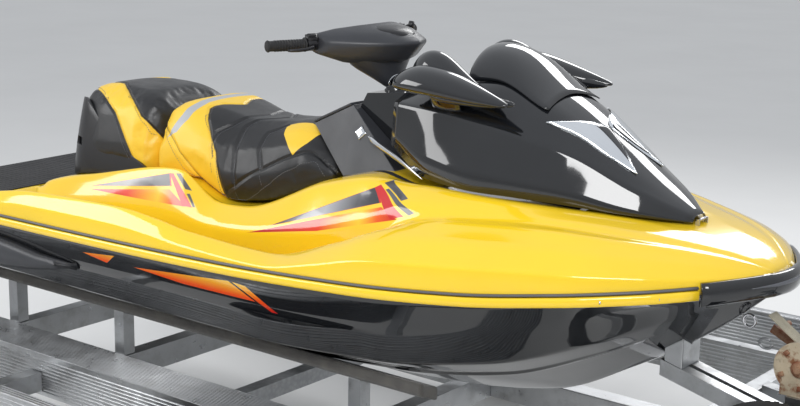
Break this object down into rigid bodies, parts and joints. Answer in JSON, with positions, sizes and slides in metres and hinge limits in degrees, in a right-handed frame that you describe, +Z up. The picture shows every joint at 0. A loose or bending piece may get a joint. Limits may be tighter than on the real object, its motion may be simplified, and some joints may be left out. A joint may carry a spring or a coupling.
{
  "type": "personal watercraft on a boat trailer",
  "caption": "Seated personal watercraft with a gloss hull, opening hood and jet drive, strapped to the side lane of an aluminium beam trailer standing on its wheels and jack.",
  "frame": {"origin": "on the ground, midway along and across the trailer and the craft together", "axes": "+X forward to the bow and coupler, +Y to port, +Z up"},
  "size_m": [5.0664, 2.6, 1.786],
  "materials": {
    "hull_black": "high gloss gelcoat",
    "deck_yellow": "high gloss gelcoat",
    "trim_grey": "satin extrusion",
    "fairing_black": "high gloss moulding",
    "moulding_grey": "satin moulding",
    "handle_black": "satin moulding",
    "mat_black": "ribbed foam mat",
    "seat_vinyl": "yellow, silver and black marine vinyl",
    "grip_rubber": "ribbed rubber",
    "engine_grey": "plain block",
    "stainless": "polished stainless steel",
    "lens_silver": "clear lens over chrome reflector",
    "pump_aluminium": "cast, anodised",
    "trailer_aluminium": "ribbed extrusion, weathered",
    "galvanised_steel": "galvanised",
    "bunk_carpet": "carpet",
    "rim_white": "painted",
    "tyre_rubber": "tyre rubber",
    "winch_tan": "zinc-plated, rust-stained",
    "winch_rust": "rusted",
    "strap_webbing": "woven webbing",
    "lens_red": "red lens"
  },
  "bodies": {
    "trailer_and_hull": {"hull": "hull_black", "deck": "deck_yellow", "transom": "hull_black", "gunwale_bumpers": "deck_yellow", "bumper_inserts": "trim_grey", "bow_bumper": "fairing_black", "sponsons": "moulding_grey", "footwell_mats": "mat_black", "platform_mat": "mat_black", "rear_seat": "seat_vinyl", "front_seat": "seat_vinyl", "grab_handle": "handle_black", "engine_block": "engine_grey", "glove_box": "moulding_grey", "console": "fairing_black", "hood_hinge": "stainless", "storage_bin": "handle_black", "bow_eye": "stainless", "stern_eyes": "stainless", "pump_housing": "pump_aluminium", "intake_grate": "pump_aluminium", "ride_plate": "pump_aluminium", "main_rails": "trailer_aluminium", "step_rails": "trailer_aluminium", "centre_beam": "trailer_aluminium", "walk_plank": "trailer_aluminium", "cross_members": "trailer_aluminium", "tongue_frame": "trailer_aluminium", "coupler": "galvanised_steel", "bunks": "bunk_carpet", "bunk_brackets": "trailer_aluminium", "axle": "galvanised_steel", "winch_stand": "trailer_aluminium", "bow_stop": "trailer_aluminium", "winch_frame": "winch_tan", "winch_strap": "strap_webbing", "jack_tube": "galvanised_steel", "spare_rim": "rim_white", "spare_tyre": "tyre_rubber", "tail_lights": "lens_red"},
    "steering": {"steering_column": "moulding_grey", "steering_cover": "moulding_grey", "handlebar": "stainless", "handlebar_grips": "grip_rubber", "handlebar_controls": "handle_black"},
    "jet_nozzle": {"jet_nozzle": "pump_aluminium"},
    "reverse_gate": {"reverse_gate": "handle_black"},
    "impeller": {"impeller": "stainless"},
    "hood": {"hood": "fairing_black", "windshield": "fairing_black", "mirrors": "fairing_black", "headlight": "lens_silver"},
    "glove_box_lid": {"glove_box_lid": "moulding_grey"},
    "wheel_left": {"wheel_rims_left": "rim_white", "tyre_left": "tyre_rubber"},
    "wheel_right": {"wheel_rims_right": "rim_white", "tyre_right": "tyre_rubber"},
    "winch_drum": {"winch_drum": "winch_rust"},
    "jack_leg": {"jack_leg": "galvanised_steel"}
  },
  "joints": [
    {"name": "steering_turn", "type": "hinge", "parent": "trailer_and_hull", "child": "steering", "pos_m": [-0.3018, -0.36, 1.574], "axis": [-0.4695, 0, 0.8829], "range_deg": [-25, 25]},
    {"name": "nozzle_turn", "type": "hinge", "parent": "trailer_and_hull", "child": "jet_nozzle", "pos_m": [-2.2668, -0.36, 0.728], "axis": [0, 0, 1], "range_deg": [-20, 20]},
    {"name": "reverse_gate_lower", "type": "hinge", "parent": "trailer_and_hull", "child": "reverse_gate", "pos_m": [-2.2788, -0.36, 0.728], "axis": [0, -1, 0], "range_deg": [0, 75]},
    {"name": "impeller_spin", "type": "hinge", "parent": "trailer_and_hull", "child": "impeller", "pos_m": [-2.0568, -0.36, 0.728], "axis": [1, 0, 0], "continuous": true},
    {"name": "hood_open", "type": "hinge", "parent": "trailer_and_hull", "child": "hood", "pos_m": [0.8282, -0.36, 1.312], "axis": [0, 1, 0], "range_deg": [0, 55]},
    {"name": "glove_box_open", "type": "hinge", "parent": "trailer_and_hull", "child": "glove_box_lid", "pos_m": [-0.5414, -0.36, 1.4468], "axis": [0, -1, 0], "range_deg": [0, 75]},
    {"name": "wheel_left_spin", "type": "hinge", "parent": "trailer_and_hull", "child": "wheel_left", "pos_m": [-0.7568, 1.11, 0.265], "axis": [0, 1, 0], "continuous": true},
    {"name": "wheel_right_spin", "type": "hinge", "parent": "trailer_and_hull", "child": "wheel_right", "pos_m": [-0.7568, -1.11, 0.265], "axis": [0, 1, 0], "continuous": true},
    {"name": "winch_turn", "type": "hinge", "parent": "trailer_and_hull", "child": "winch_drum", "pos_m": [1.1782, -0.36, 0.95], "axis": [0, 1, 0], "continuous": true},
    {"name": "jack_raise", "type": "slide", "parent": "trailer_and_hull", "child": "jack_leg", "axis": [0, 0, 1], "range_m": [0, 0.28]}
  ],
  "couplings": [
    {"joint": "nozzle_turn", "follows": "steering_turn", "ratio": -0.8}
  ]
}
